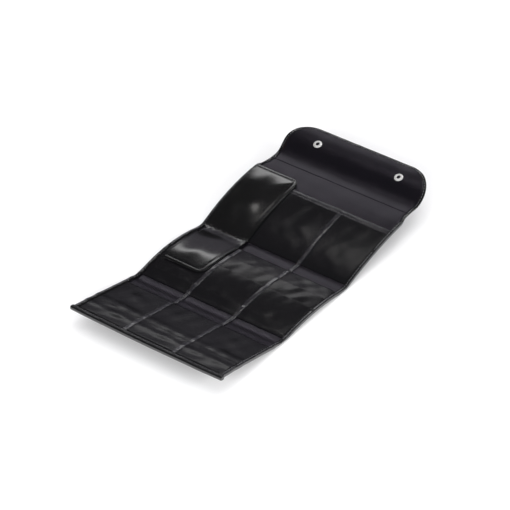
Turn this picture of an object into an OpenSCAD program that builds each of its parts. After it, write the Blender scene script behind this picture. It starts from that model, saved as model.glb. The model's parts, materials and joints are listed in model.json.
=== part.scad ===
// Fold-up jewelry wallet, lying open with its inside up.
// X runs across the width, Y from the front edge to the closing flap, Z up.
// Panels are thin layered sheets bowed about X: front, middle (which rests on the table), back,
// then a soft spine and the flap. A cushioned leaf lies over the left column of pockets.

/* [Overall] */
// Width over the side bindings
wallet_w = 190; // [160:1:230]
// Middle panel, fold to fold
middle_len = 112; // [100:1:130]
// Front panel, fold to edge
front_len = 103.5; // [90:0.5:112]
// Back panel, fold to spine
back_len = 109; // [95:1:120]
// Spine that wraps the closed stack
spine_len = 31.5; // [24:0.5:38]
// Flap, spine to tip
flap_len = 45.5; // [42:0.5:56]

/* [Rest pose] */
// Slope of the front panel, degrees
front_rise = 12; // [8:0.5:16]
// Slope of the back panel, degrees
back_rise = 13; // [9:0.5:17]
// Slope of the flap, degrees
flap_rise = 20; // [10:0.5:22]
// Bow of the front panel
front_bow = 0.8; // [0:0.1:2]
// Bow of the middle panel
middle_bow = 5.5; // [3:0.5:6]
// Bow of the back panel
back_bow = 4.5; // [2:0.5:6]
// Bow of the flap
flap_bow = 4.5; // [2:0.5:6]
// Flat heel at each end of the middle panel
heel = 4; // [2:0.5:8]

/* [Layers] */
// Outer vinyl
shell_t = 0.8; // [0.6:0.1:1.2]
// Foam filling
core_t = 1; // [0.6:0.1:1.5]
// Lining
lining_t = 0.4; // [0.3:0.1:0.6]
// Vinyl of the pocket fronts
sheet_t = 0.6; // [0.4:0.1:0.8]
// Height of a pocket mouth above the shell's outside
mouth_h = 3.8; // [3.4:0.1:4.2]

/* [Bindings] */
// Width of a side binding
binding_w = 4; // [3:0.5:6]
// Height of a side binding
binding_h = 4.6; // [4.2:0.1:5]
// Height of the flap and spine bindings
thin_binding_h = 3; // [2.6:0.1:3.6]
// Radius of the front edge's rolled binding
roll_r = 2.6; // [2:0.1:3.2]
// How far each end of the rolled binding stands out
roll_out = 1.5; // [0:0.5:3]
// Corner radius of the flap
flap_corner = 32; // [16:1:40]
// How far each side of the flap stands in from the panels' sides
flap_inset = 2.5; // [0:0.5:5]

/* [Pockets] */
// Mouths of the middle panel's slots, from its front end
middle_mouths = [17, 54, 75, 94];
// Mouths of the front panel's slots, from the fold
front_mouths = [16, 68];
// Mouth of the back panel's long pocket, from the fold
back_mouth = 86; // [60:1:92]
// How far a slot's sheet tucks under the next one
tuck = 5; // [3:0.5:8]
// Depth of the hem on the long pocket
hem_w = 7; // [4:0.5:10]
// Thickness of the hem
hem_t = 0.5; // [0.3:0.1:0.6]
// Width of a divider tape
tape_w = 5; // [3:0.5:8]
// Thickness of a divider tape
tape_t = 0.8; // [0.4:0.1:1]
// Distance between the two divider tapes
tape_gap = 62; // [50:1:76]

/* [Leaf] */
// Thickness of the leaf's cushion
leaf_t = 2; // [1.4:0.1:2.2]
// Air under the leaf
leaf_gap = 0.2; // [0.2:0.1:0.5]
// Distance from the middle panel's front end to the leaf's lower edge
leaf_reach = 30; // [20:1:50]
// Width of the leaf's edge binding
leaf_edge = 4; // [3:0.5:6]
// Radius of the leaf's free corners
leaf_corner = 11; // [6:1:16]

/* [Snaps] */
// Distance between the snaps
snap_gap = 107; // [80:1:130]
// Distance from the start of the flap to the snaps
snap_s = 22; // [16:1:30]
// Outer radius of a snap's ring
ring_r = 5; // [4:0.1:6]
// Height of a snap's ring
ring_h = 1.5; // [1:0.1:2]
// Radius of the socket's bore
bore_r = 2.3; // [1.8:0.1:2.6]
// Radial clearance of the stud in the bore
stud_clear = 0.35; // [0.3:0.05:0.6]
// Radius of the stud's base
stud_base_r = 4; // [3:0.5:5]
// Height of the stud above its base
stud_h = 1.8; // [1.2:0.1:2]
// Thickness of the stud's base and of the flap's caps
cap_t = 0.8; // [0.6:0.1:1.2]
// Radius of the caps on the outside of the flap
cap_r = 6; // [5:0.5:7]

/* [Folds] */
// Half width of the soft strip at the two main folds
fold_half = 5; // [4:0.5:7]
// Half width of the soft strip at each side of the spine
crease_half = 3; // [2:0.5:4]
// Height of the fold between front and middle above the table
front_axis_h = 7; // [7:0.5:9]
// Height of the fold between middle and back above the table
back_axis_h = 15; // [15:0.5:18]
// Height of the spine's fold above the sheet
spine_axis_h = 4; // [3:0.5:6]
// Height of the flap's fold above the sheet
flap_axis_h = 6; // [4:0.5:8]
// Closing angle of the back panel, degrees
back_turn = 167; // [150:1:168]
// Closing angle of the spine, degrees
spine_turn = 74; // [60:1:80]
// Closing angle of the flap, degrees
flap_turn = 94; // [85:1:105]

/* [Hidden] */

$fn = 48;
seam = 0.1;            // hairline between a soft strip and its neighbours
strip_lift = 0.3;      // soft strips stay this far above the table
strip_t = 1.2;         // thickness of the soft strips
seam_inset = 1;        // pocket fronts and the leaf are sewn this far inside a panel's end
leaf_side_gap = 0.7;   // between the leaf's free side and the left divider tape
leaf_root_gap = 0.6;   // between the leaf's sewn side and the binding
tail_inset = 8;        // the leaf's tail is free, so its left edge stands further in
snap_air = 0.1;        // hairline under a socket, which sits on the flap's crowned side
cap_air = 0.4;         // the same over a cap or stud, which lies under a hollow side
steps = 14;            // straight facets along each bow
far_out = 400;         // longer than the whole wallet
below = 100;           // deeper than anything reaches, for cuts made by a plan outline
vinyl = "#1c1b20";
satin = "#302c38";
foam = "#3a3a3e";
nickel = "#b9bbbf";

inner_w = wallet_w - 2 * binding_w;
base_t = shell_t + core_t + lining_t;
leaf_h = mouth_h + leaf_gap;
tape_x = tape_gap / 2;
leaf_x1 = -tape_x - tape_w / 2 - leaf_side_gap;   // right edge of the leaf
leaf_x0 = -inner_w / 2 + leaf_root_gap;           // sewn edge of the leaf
leaf_tail_x0 = leaf_x0 + tail_inset;

// Total reach along Y, so that the origin stands under the middle of the wallet
front_reach = (front_len - fold_half) * cos(front_rise) + roll_r - binding_h / 2 * sin(front_rise);
back_reach = (back_len - fold_half) * cos(back_rise);
flap_reach = flap_len * cos(flap_rise);
total_y = front_reach + middle_len + back_reach + spine_len + flap_reach + 2 * fold_half;
y_front_fold = front_reach + fold_half - total_y / 2;
y_back_fold = y_front_fold + middle_len;

function dir(a) = [cos(a), sin(a)];

// A panel is [start point, direction angle, up side, length, bow, heel]. s runs along it.
middle_p = [[y_front_fold + fold_half, 0], 0, 1, middle_len - 2 * fold_half, middle_bow, heel];
front_p = [[y_front_fold - fold_half, strip_lift], 180 - front_rise, -1,
           front_len - fold_half - roll_r, front_bow, 0];
back_p = [[y_back_fold + fold_half, strip_lift], back_rise, 1,
          back_len - fold_half - crease_half, back_bow, 0];
spine_hinge = back_p[0] + (back_len - fold_half) * dir(back_rise);
spine_p = [spine_hinge + [crease_half, 0], 0, 1, spine_len - 2 * crease_half, 0, 0];
flap_hinge = spine_hinge + [spine_len, 0];
flap_p = [flap_hinge + crease_half * dir(flap_rise), flap_rise, 1,
          flap_len - crease_half, flap_bow, 0];

function up(p) = p[2] * [-sin(p[1]), cos(p[1])];
function bow_at(p, s) =
    let(t = max(0, min(1, (s - p[5]) / (p[3] - 2 * p[5])))) 4 * p[4] * t * (1 - t);
function station(p, i) = p[5] + (p[3] - 2 * p[5]) * i / steps;
// The bow between stations is straight, so layers meet face to face
function bow_on(p, s) =
    let(
        u = (s - p[5]) / (p[3] - 2 * p[5]) * steps,
        i = max(0, min(steps - 1, floor(u))),
        f = max(0, min(1, u - i))
    )
    bow_at(p, station(p, i)) * (1 - f) + bow_at(p, station(p, i + 1)) * f;
function place(p, s, h) = p[0] + s * dir(p[1]) + (bow_on(p, s) + h) * up(p);
function cuts(p, s0, s1) = concat(
    [s0], [for (i = [0 : steps]) if (station(p, i) > s0 && station(p, i) < s1) station(p, i)], [s1]);
function mix(h, s0, s1, s) = h[0] + (h[1] - h[0]) * (s - s0) / (s1 - s0);

// Outline of a layer from s0 to s1; low and high are its heights [at s0, at s1]
function layer(p, s0, s1, low, high) =
    let(c = cuts(p, s0, s1), n = len(c) - 1)
    concat(
        [for (s = c) place(p, s, mix(low, s0, s1, s))],
        [for (i = [n : -1 : 0]) place(p, c[i], mix(high, s0, s1, c[i]))]);

module across(x0, x1)
    translate([x0, 0, 0]) rotate([90, 0, 90]) linear_extrude(x1 - x0) children();

module sheet(p, x0, x1, s0, s1, low, high)
    across(x0, x1) polygon(layer(p, s0, s1, low, high));

module flat_sheet(p, x0, x1, s0, s1, low, high)
    sheet(p, x0, x1, s0, s1, [low, low], [high, high]);

// On a shorter panel the pocket mouths close up in proportion
function fitted(mouths, end) = mouths * min(1, end / mouths[len(mouths) - 1]);
middle_at = fitted(middle_mouths, middle_p[3] - 8);
front_at = fitted(front_mouths, front_p[3] - 24);
back_at = min(back_mouth, back_p[3] - 12);

// The three layers of a panel
module shell_of(p, w = inner_w) color(vinyl) flat_sheet(p, -w / 2, w / 2, 0, p[3], 0, shell_t);
module core_of(p, w = inner_w)
    color(foam) flat_sheet(p, -w / 2, w / 2, 0, p[3], shell_t, shell_t + core_t);
module lining_of(p, w = inner_w)
    color(satin) flat_sheet(p, -w / 2, w / 2, 0, p[3], shell_t + core_t, base_t);

// Side binding: side is -1 on the left and 1 on the right
module side_binding(p, side, h = binding_h) {
    x = side * (inner_w / 2 + binding_w / 2);
    color(vinyl) flat_sheet(p, x - binding_w / 2, x + binding_w / 2, 0, p[3], 0, h);
}

// Pocket front from its bottom seam (at s_seam, on the lining) to its mouth (at s_mouth)
function slot_low(s_seam, s_mouth) =
    s_seam < s_mouth ? [base_t, mouth_h - sheet_t] : [mouth_h - sheet_t, base_t];
module slot(p, s_seam, s_mouth) {
    low = slot_low(s_seam, s_mouth);
    color(vinyl) sheet(p, -inner_w / 2, inner_w / 2, min(s_seam, s_mouth), max(s_seam, s_mouth),
                       low, low + [sheet_t, sheet_t]);
}
module middle_slot(i)
    slot(middle_p, i == 0 ? seam_inset : middle_at[i - 1] - tuck, middle_at[i]);
module front_slot(i)
    slot(front_p, i == 0 ? front_at[1] + tuck : front_p[3] - seam_inset, front_at[i]);

module tape(p, x, s0, s1)
    color(vinyl) flat_sheet(p, x - tape_w / 2, x + tape_w / 2, s0, s1, mouth_h, mouth_h + tape_t);

// ---- middle panel ----
module middle_shell() shell_of(middle_p);
module middle_core() core_of(middle_p);
module middle_lining() lining_of(middle_p);
module middle_tape(side) tape(middle_p, side * tape_x, seam_inset, middle_at[3]);

// Stud base and post under the middle panel, where the flap's socket comes when it is closed
function turned(q, c, a) = c + [
    (q[0] - c[0]) * cos(a) - (q[1] - c[1]) * sin(a),
    (q[0] - c[0]) * sin(a) + (q[1] - c[1]) * cos(a)];
flap_tilt = flap_rise + atan2(bow_on(flap_p, snap_s + 1) - bow_on(flap_p, snap_s - 1), 2);
socket_mouth = place(flap_p, snap_s, base_t) + (snap_air + ring_h) * [-sin(flap_tilt), cos(flap_tilt)];
closed_mouth = turned(
    turned(
        turned(socket_mouth, flap_hinge + [0, flap_axis_h], flap_turn),
        spine_hinge + [0, spine_axis_h], spine_turn),
    [y_back_fold, back_axis_h], back_turn);
mouth_s = closed_mouth[0] - middle_p[0][0];
stud_tilt = atan2(bow_on(middle_p, mouth_s + 1) - bow_on(middle_p, mouth_s - 1), 2);
stud_s = mouth_s - (cap_t + stud_h) * sin(stud_tilt); // so that the tip of the post meets the mouth
stud_foot = place(middle_p, stud_s, -cap_air);
module stud(side)
    color(nickel)
    translate([side * snap_gap / 2, stud_foot[0], stud_foot[1]]) rotate([180 + stud_tilt, 0, 0]) {
        cylinder(r = stud_base_r, h = cap_t);
        cylinder(r = bore_r - stud_clear, h = cap_t + stud_h);
    }

// ---- front panel ----
module front_shell() shell_of(front_p);
module front_core() core_of(front_p);
module front_lining() lining_of(front_p);
module front_tape(side) tape(front_p, side * tape_x, front_at[0], front_p[3] - seam_inset);
module front_roll() {
    foot = place(front_p, front_p[3], binding_h / 2) + roll_r * dir(front_p[1]);
    len = wallet_w + 2 * roll_out;
    color(vinyl) translate([-len / 2, foot[0], foot[1]]) rotate([0, 90, 0]) cylinder(r = roll_r, h = len);
}

// ---- back panel ----
module back_shell() shell_of(back_p);
module back_core() core_of(back_p);
module back_lining() lining_of(back_p);
pocket_low = [base_t, mouth_h - sheet_t];
function pocket_top(s) = mix(pocket_low, seam_inset, back_at, s) + sheet_t;
module long_pocket() slot(back_p, seam_inset, back_at);
module pocket_hem() {
    s0 = back_at - hem_w;
    top = [pocket_top(s0), pocket_top(back_at)];
    color(vinyl) sheet(back_p, leaf_x1 + leaf_side_gap, inner_w / 2, s0, back_at,
                       top, top + [hem_t, hem_t]);
}
module back_tape() {
    s1 = back_at - hem_w;
    top = [pocket_top(seam_inset), pocket_top(s1)];
    color(vinyl) sheet(back_p, tape_x - tape_w / 2, tape_x + tape_w / 2, seam_inset, s1,
                       top, top + [tape_t, tape_t]);
}

// ---- spine ----
module spine_shell() shell_of(spine_p);
module spine_lining()
    color(satin) flat_sheet(spine_p, -inner_w / 2, inner_w / 2, 0, spine_p[3], shell_t,
                            shell_t + lining_t);

// ---- flap ----
flap_tip = place(flap_p, flap_p[3], 0)[0];
flap_over = 2; // the flap's sheets are drawn this much too long, and the plan trims them
// Plan outline of the flap, inset by d
module flap_plan(d) {
    r = flap_corner - d;
    x = wallet_w / 2 - flap_inset - d;
    y1 = flap_tip - d;
    y0 = flap_p[0][0] - far_out;
    translate([-x, y0]) square([2 * x, y1 - r - y0]);
    translate([-x + r, y0]) square([2 * (x - r), y1 - y0]);
    for (side = [-1, 1]) translate([side * (x - r), y1 - r]) circle(r = r, $fn = 96);
}
module flap_cut(d) intersection() {
    children();
    translate([0, 0, -below]) linear_extrude(far_out) flap_plan(d);
}
module flap_layer(low, high)
    flap_cut(binding_w)
    flat_sheet(flap_p, -wallet_w / 2, wallet_w / 2, 0, flap_p[3] + flap_over, low, high);
module flap_shell() color(vinyl) flap_layer(0, shell_t);
module flap_core() color(foam) flap_layer(shell_t, shell_t + core_t);
module flap_lining() color(satin) flap_layer(shell_t + core_t, base_t);
module flap_binding() color(vinyl) difference() {
    flap_cut(0)
        flat_sheet(flap_p, -wallet_w / 2 - 1, wallet_w / 2 + 1, 0, flap_p[3] + flap_over,
                   0, thin_binding_h);
    translate([0, 0, -below]) linear_extrude(far_out) flap_plan(binding_w);
}
module at_snap(side, h) {
    q = place(flap_p, snap_s, h);
    translate([side * snap_gap / 2, q[0], q[1]]) rotate([flap_tilt, 0, 0]) children();
}
module socket(side) color(nickel) at_snap(side, base_t + snap_air) difference() {
    cylinder(r = ring_r, h = ring_h);
    translate([0, 0, -1]) cylinder(r = bore_r, h = ring_h + 2);
}
module cap(side) color(nickel) at_snap(side, -cap_air - cap_t) cylinder(r = cap_r, h = cap_t);

// ---- leaf ----
leaf_s1 = back_p[3] - seam_inset;
trim = 0.6; // the plan trims the slabs this far inside their ends
leaf_tip = place(back_p, leaf_s1, leaf_h + leaf_t)[0] - trim;
leaf_foot = place(middle_p, leaf_reach, leaf_h)[0];
// Plan outline of the whole leaf, inset by d on its free sides
module leaf_plan(d) {
    r = leaf_corner - d;
    x0 = leaf_x0 - leaf_corner;   // past the sewn edge, so that the slab ends the leaf there
    x1 = leaf_x1 - d;
    y0 = leaf_foot + d;
    y1 = leaf_tip - d;
    translate([x0, y0]) square([x1 - r - x0, y1 - y0]);
    translate([x0, y0 + r]) square([x1 - x0, y1 - y0 - 2 * r]);
    for (y = [y0 + r, y1 - r]) translate([x1 - r, y]) circle(r = r, $fn = 96);
}
module leaf_cut(d) intersection() {
    children();
    translate([0, 0, -below]) linear_extrude(far_out) leaf_plan(d);
}
module leaf_slab() flat_sheet(back_p, leaf_x0, leaf_x1, 0, leaf_s1, leaf_h, leaf_h + leaf_t);
module tail_slab()
    flat_sheet(middle_p, leaf_tail_x0, leaf_x1, leaf_reach - trim, middle_p[3],
               leaf_h, leaf_h + leaf_t);
module edging_of() difference() {
    leaf_cut(0) children();
    translate([0, 0, -below]) linear_extrude(far_out) leaf_plan(leaf_edge);
}
module leaf_pad() color(vinyl) leaf_cut(leaf_edge) leaf_slab();
module leaf_edging() color(vinyl) edging_of() leaf_slab();
module leaf_tail_pad() color(vinyl) leaf_cut(leaf_edge) tail_slab();
module leaf_tail_edging() color(vinyl) edging_of() tail_slab();

// ---- soft strips at the folds ----
// Strip from the end of panel p (at sp) to the end of panel q (at sq)
module strip(p, sp, q, sq, lift_p, lift_q)
    color(satin) across(-inner_w / 2, inner_w / 2) polygon([
        place(p, sp, lift_p), place(q, sq, lift_q),
        place(q, sq, lift_q + strip_t), place(p, sp, lift_p + strip_t)]);
module front_fold_strip() strip(front_p, -seam, middle_p, -seam, 0, strip_lift);
module back_fold_strip()
    strip(middle_p, middle_p[3] + seam, back_p, -seam, strip_lift, 0);
module spine_fold_strip() strip(back_p, back_p[3] + seam, spine_p, -seam, 0, 0);
module flap_fold_strip() strip(spine_p, spine_p[3] + seam, flap_p, -seam, 0, 0);

middle_shell();
middle_core();
middle_lining();
side_binding(middle_p, -1);  // middle_binding_left
side_binding(middle_p, 1);  // middle_binding_right
middle_slot(0);  // slot_1
middle_slot(1);  // slot_2
middle_slot(2);  // slot_3
middle_slot(3);  // slot_4
middle_tape(-1);  // middle_tape_left
middle_tape(1);  // middle_tape_right
stud(-1);  // stud_left
stud(1);  // stud_right
front_shell();
front_core();
front_lining();
side_binding(front_p, -1);  // front_binding_left
side_binding(front_p, 1);  // front_binding_right
front_roll();
front_slot(0);  // front_slot_1
front_slot(1);  // front_slot_2
front_tape(-1);  // front_tape_left
front_tape(1);  // front_tape_right
back_shell();
back_core();
back_lining();
side_binding(back_p, -1);  // back_binding_left
side_binding(back_p, 1);  // back_binding_right
long_pocket();
pocket_hem();
back_tape();
spine_shell();
spine_lining();
side_binding(spine_p, -1, thin_binding_h);  // spine_binding_left
side_binding(spine_p, 1, thin_binding_h);  // spine_binding_right
flap_shell();
flap_core();
flap_lining();
flap_binding();
socket(-1);  // socket_left
socket(1);  // socket_right
cap(-1);  // cap_left
cap(1);  // cap_right
leaf_pad();
leaf_edging();
leaf_tail_pad();
leaf_tail_edging();
front_fold_strip();
back_fold_strip();
spine_fold_strip();
flap_fold_strip();
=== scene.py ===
import json
import math

import bpy
import numpy as np
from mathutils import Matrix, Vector


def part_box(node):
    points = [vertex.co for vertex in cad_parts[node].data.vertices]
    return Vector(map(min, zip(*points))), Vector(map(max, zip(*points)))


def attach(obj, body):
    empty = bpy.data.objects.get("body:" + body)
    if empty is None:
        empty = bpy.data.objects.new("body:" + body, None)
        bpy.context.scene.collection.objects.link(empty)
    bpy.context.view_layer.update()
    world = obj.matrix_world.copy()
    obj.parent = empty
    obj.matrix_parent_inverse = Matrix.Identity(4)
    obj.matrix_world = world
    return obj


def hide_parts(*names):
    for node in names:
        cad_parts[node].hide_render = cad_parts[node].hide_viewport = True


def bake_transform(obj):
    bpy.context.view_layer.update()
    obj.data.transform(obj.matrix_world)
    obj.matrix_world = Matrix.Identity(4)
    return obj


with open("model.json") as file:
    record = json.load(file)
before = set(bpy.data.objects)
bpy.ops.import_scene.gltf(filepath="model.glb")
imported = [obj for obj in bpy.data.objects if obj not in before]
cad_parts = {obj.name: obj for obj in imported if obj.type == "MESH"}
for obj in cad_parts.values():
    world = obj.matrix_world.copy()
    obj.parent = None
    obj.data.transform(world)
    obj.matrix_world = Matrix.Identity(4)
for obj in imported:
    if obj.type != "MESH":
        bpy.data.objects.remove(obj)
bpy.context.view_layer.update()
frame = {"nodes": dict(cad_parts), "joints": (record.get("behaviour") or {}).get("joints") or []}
mm = 0.001
print("frame loaded:", len(frame["nodes"]), "nodes")

# Camera, floor and light
viewPoint = {"azimuth": 36.70, "elevation": 37.06, "distance": 2.6, "lens": 175.46,
             "target": (0.0, -0.0276, 0.0), "shift": (0.0169, 0.0467)}


def towards(azimuth, elevation):
    # Unit vector: azimuth turns from -Y towards +X, elevation rises from the floor.
    a, e = math.radians(azimuth), math.radians(elevation)
    return Vector((math.sin(a) * math.cos(e), -math.cos(a) * math.cos(e), math.sin(e)))


def aim(obj, azimuth, elevation, distance, target):
    target = Vector(target)
    obj.location = target + distance * towards(azimuth, elevation)
    obj.rotation_euler = (target - obj.location).to_track_quat("-Z", "Y").to_euler()


cameraData = bpy.data.cameras.new("studioCamera")
cameraData.lens = viewPoint["lens"]
cameraData.sensor_width = 36.0
cameraData.shift_x, cameraData.shift_y = viewPoint["shift"]
cameraData.clip_end = 50.0
camera = bpy.data.objects.new("studioCamera", cameraData)
bpy.context.scene.collection.objects.link(camera)
aim(camera, viewPoint["azimuth"], viewPoint["elevation"], viewPoint["distance"], viewPoint["target"])
bpy.context.scene.camera = camera

# name: azimuth, elevation, distance, width, height, watts, colour, seen in gloss
studioLights = {
    "overhead": (20, 88, 2.4, 2.2, 2.2, 14, (1.0, 1.0, 1.0), False),
    "frontFill": (15, 27, 2.6, 1.8, 0.9, 52, (1.0, 1.0, 1.0), False),
    "sideFill": (80, 27, 2.6, 1.8, 0.9, 40, (1.0, 1.0, 1.0), False),
    "backWall": (217, 26, 3.0, 3.2, 0.9, 2.5, (0.90, 0.86, 1.0), True),
    "crestBox": (217, 36, 2.2, 0.75, 0.16, 1.5, (1.0, 1.0, 1.0), True),
    "sparkleBack": (228, 63, 2.0, 0.5, 0.04, 0.7, (1.0, 0.98, 0.95), True),
    "sparkleSide": (150, 66, 2.0, 0.04, 0.5, 0.7, (1.0, 0.98, 0.95), True),
    "stripBack": (178, 50, 2.2, 0.07, 1.7, 4.5, (1.0, 1.0, 1.0), True),
    "warmLamp": (262, 34, 2.0, 0.16, 0.16, 0.3, (1.0, 0.55, 0.28), True),
}
for lightName, (azimuth, elevation, distance, wide, high, watts, tint, inGloss) in studioLights.items():
    lightData = bpy.data.lights.new(lightName, "AREA")
    lightData.shape = "RECTANGLE"
    lightData.size, lightData.size_y = wide, high
    lightData.energy = watts
    lightData.color = tint
    light = bpy.data.objects.new(lightName, lightData)
    bpy.context.scene.collection.objects.link(light)
    aim(light, azimuth, elevation, distance, (0, 0, 0.01))
    light.visible_glossy = inGloss

world = bpy.data.worlds.new("studioRoom")
bpy.context.scene.world = world
world.use_nodes = True
background = world.node_tree.nodes["Background"]
background.inputs["Color"].default_value = (0.97, 0.97, 1.0, 1.0)
background.inputs["Strength"].default_value = 0.55
world.cycles_visibility.glossy = False            # the room lights the floor but isn't mirrored in the vinyl
bpy.context.scene.view_settings.view_transform = "Standard"

# Material building


def newMaterial(name):
    mat = bpy.data.materials.new(name)
    mat.use_nodes = True
    nodes, links = mat.node_tree.nodes, mat.node_tree.links
    return mat, nodes, links, nodes["Principled BSDF"]


def newGroup(name, inputs, outputs):
    # A shader node group; inputs and outputs are {name: (socket type, start value)}.
    group = bpy.data.node_groups.new(name, "ShaderNodeTree")
    for label, (kind, value) in inputs.items():
        group.interface.new_socket(name=label, in_out="INPUT", socket_type=kind).default_value = value
    for label, kind in outputs.items():
        group.interface.new_socket(name=label, in_out="OUTPUT", socket_type=kind)
    gi = group.nodes.new("NodeGroupInput")
    go = group.nodes.new("NodeGroupOutput")
    return group, gi, go


def mathNode(tree, kind, a, b=None, clampIt=False):
    n = tree.nodes.new("ShaderNodeMath")
    n.operation = kind
    n.use_clamp = clampIt
    for socket, value in zip(n.inputs, (a, b)):
        if value is None:
            continue
        if isinstance(value, (int, float)):
            socket.default_value = value
        else:
            tree.links.new(value, socket)
    return n.outputs[0]


def surfacePoint(tree):
    # The piece's own UV map, in metres along and across the sheet.
    uv = tree.nodes.new("ShaderNodeUVMap")
    uv.uv_map = "surface"
    return uv.outputs["UV"]


def noiseNode(tree, vector, inputs):
    # Noise texture read at a point; inputs are {name: value}.
    noise = tree.nodes.new("ShaderNodeTexNoise")
    for label, value in inputs.items():
        noise.inputs[label].default_value = value
    tree.links.new(vector, noise.inputs["Vector"])
    return noise


def addBump(mat, height, shader, strength, distance):
    bumpNode = mat.node_tree.nodes.new("ShaderNodeBump")
    bumpNode.inputs["Strength"].default_value = strength
    bumpNode.inputs["Distance"].default_value = distance
    mat.node_tree.links.new(height, bumpNode.inputs["Height"])
    mat.node_tree.links.new(bumpNode.outputs["Normal"], shader.inputs["Normal"])


# Fine crinkles of patent vinyl: stretched noise for long soft creases plus a faint grain
vinylSkin, gi, go = newGroup(
    "vinylSkin",
    {"Crease Scale": ("NodeSocketFloat", 60.0), "Grain Scale": ("NodeSocketFloat", 900.0),
     "Crease": ("NodeSocketFloat", 1.0), "Grain": ("NodeSocketFloat", 0.15)},
    {"Height": "NodeSocketFloat", "Wear": "NodeSocketFloat"})
where = surfacePoint(vinylSkin)
stretch = vinylSkin.nodes.new("ShaderNodeMapping")
stretch.inputs["Scale"].default_value = (1.0, 0.35, 1.0)
vinylSkin.links.new(where, stretch.inputs["Vector"])
crease = noiseNode(vinylSkin, stretch.outputs["Vector"],
                   {"Detail": 3.0, "Roughness": 0.45, "Distortion": 0.6})
vinylSkin.links.new(gi.outputs["Crease Scale"], crease.inputs["Scale"])
grain = noiseNode(vinylSkin, where, {"Detail": 2.0})
vinylSkin.links.new(gi.outputs["Grain Scale"], grain.inputs["Scale"])
creaseHeight = mathNode(vinylSkin, "MULTIPLY", crease.outputs["Fac"], gi.outputs["Crease"])
grainHeight = mathNode(vinylSkin, "MULTIPLY", grain.outputs["Fac"], gi.outputs["Grain"])
vinylSkin.links.new(mathNode(vinylSkin, "ADD", creaseHeight, grainHeight), go.inputs["Height"])
smear = noiseNode(vinylSkin, where, {"Scale": 35.0, "Detail": 4.0})
vinylSkin.links.new(smear.outputs["Fac"], go.inputs["Wear"])

# Satin weave: two crossed sets of threads, one long float over the other
satinWeave, gi, go = newGroup(
    "satinWeave",
    {"Threads": ("NodeSocketFloat", 2600.0), "Dark": ("NodeSocketColor", (0.006, 0.005, 0.008, 1)),
     "Light": ("NodeSocketColor", (0.012, 0.010, 0.015, 1))},
    {"Color": "NodeSocketColor", "Height": "NodeSocketFloat"})
where = surfacePoint(satinWeave)
split = satinWeave.nodes.new("ShaderNodeSeparateXYZ")
satinWeave.links.new(where, split.inputs["Vector"])
phases = [mathNode(satinWeave, "MULTIPLY", split.outputs[axis], gi.outputs["Threads"]) for axis in "XY"]
threadWaves = [mathNode(satinWeave, "SINE", phase) for phase in phases]
crossed = mathNode(satinWeave, "MULTIPLY", *threadWaves)
raised = mathNode(satinWeave, "MULTIPLY_ADD", crossed, 0.5)
raised.node.inputs[2].default_value = 0.5
cloud = noiseNode(satinWeave, where, {"Scale": 55.0, "Detail": 5.0})
blendFac = mathNode(satinWeave, "MULTIPLY", raised, cloud.outputs["Fac"])
shade = satinWeave.nodes.new("ShaderNodeMix")
shade.data_type = "RGBA"
satinWeave.links.new(blendFac, shade.inputs["Factor"])
satinWeave.links.new(gi.outputs["Dark"], shade.inputs[6])
satinWeave.links.new(gi.outputs["Light"], shade.inputs[7])
satinWeave.links.new(shade.outputs[2], go.inputs["Color"])
satinWeave.links.new(raised, go.inputs["Height"])


def vinylMaterial(name, colour, rough, roughSpread, creaseScale, creaseAmount, bump, gloss=0.5):
    # Black glossy sheet: one colour, roughness that wanders with handling, and creases in the normal.
    mat, nodes, links, shader = newMaterial(name)
    skin = nodes.new("ShaderNodeGroup")
    skin.node_tree = vinylSkin
    skin.inputs["Crease Scale"].default_value = creaseScale
    skin.inputs["Crease"].default_value = creaseAmount
    skin.inputs["Grain"].default_value = 0.12
    tone = nodes.new("ShaderNodeMix")
    tone.data_type = "RGBA"
    tone.inputs[6].default_value = (*[c * 0.88 for c in colour], 1)
    tone.inputs[7].default_value = (*[c * 1.12 for c in colour], 1)
    links.new(skin.outputs["Wear"], tone.inputs["Factor"])
    links.new(tone.outputs[2], shader.inputs["Base Color"])
    spread = nodes.new("ShaderNodeMath")
    spread.operation = "MULTIPLY_ADD"
    spread.inputs[1].default_value = roughSpread
    spread.inputs[2].default_value = rough
    links.new(skin.outputs["Wear"], spread.inputs[0])
    links.new(spread.outputs[0], shader.inputs["Roughness"])
    addBump(mat, skin.outputs["Height"], shader, bump, 0.4 * mm)
    shader.inputs["Specular IOR Level"].default_value = gloss
    return mat


outerVinyl = vinylMaterial("outerVinyl", (0.0065, 0.0065, 0.0068), 0.10, 0.06, 70, 1.0, 0.4)
pocketVinyl = vinylMaterial("pocketVinyl", (0.0060, 0.0058, 0.0066), 0.18, 0.06, 40, 1.0, 0.16, 0.27)
leafVinyl = vinylMaterial("leafVinyl", (0.0060, 0.0060, 0.0062), 0.13, 0.06, 30, 1.0, 0.14, 0.85)
edgeVinyl = vinylMaterial("edgeVinyl", (0.0075, 0.0075, 0.0080), 0.07, 0.07, 220, 1.0, 0.40, 0.9)
# The tapes' and hem's base colour is lifted about two and a half times above the other vinyls as painted
# sheen, standing in for the bright reflections they show where they lie flat.
tapeVinyl = vinylMaterial("tapeVinyl", (0.016, 0.0155, 0.018), 0.10, 0.14, 170, 1.0, 0.7, 1.0)


def satinMaterial(name, dark, light, rough, threads):
    mat, nodes, links, shader = newMaterial(name)
    weave = nodes.new("ShaderNodeGroup")
    weave.node_tree = satinWeave
    weave.inputs["Threads"].default_value = threads
    weave.inputs["Dark"].default_value = (*dark, 1)
    weave.inputs["Light"].default_value = (*light, 1)
    links.new(weave.outputs["Color"], shader.inputs["Base Color"])
    addBump(mat, weave.outputs["Height"], shader, 0.18, 0.1 * mm)
    shader.inputs["Roughness"].default_value = rough
    shader.inputs["Specular IOR Level"].default_value = 0.5
    shader.inputs["Specular Tint"].default_value = (0.90, 0.82, 1.0, 1)
    return mat


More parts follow.
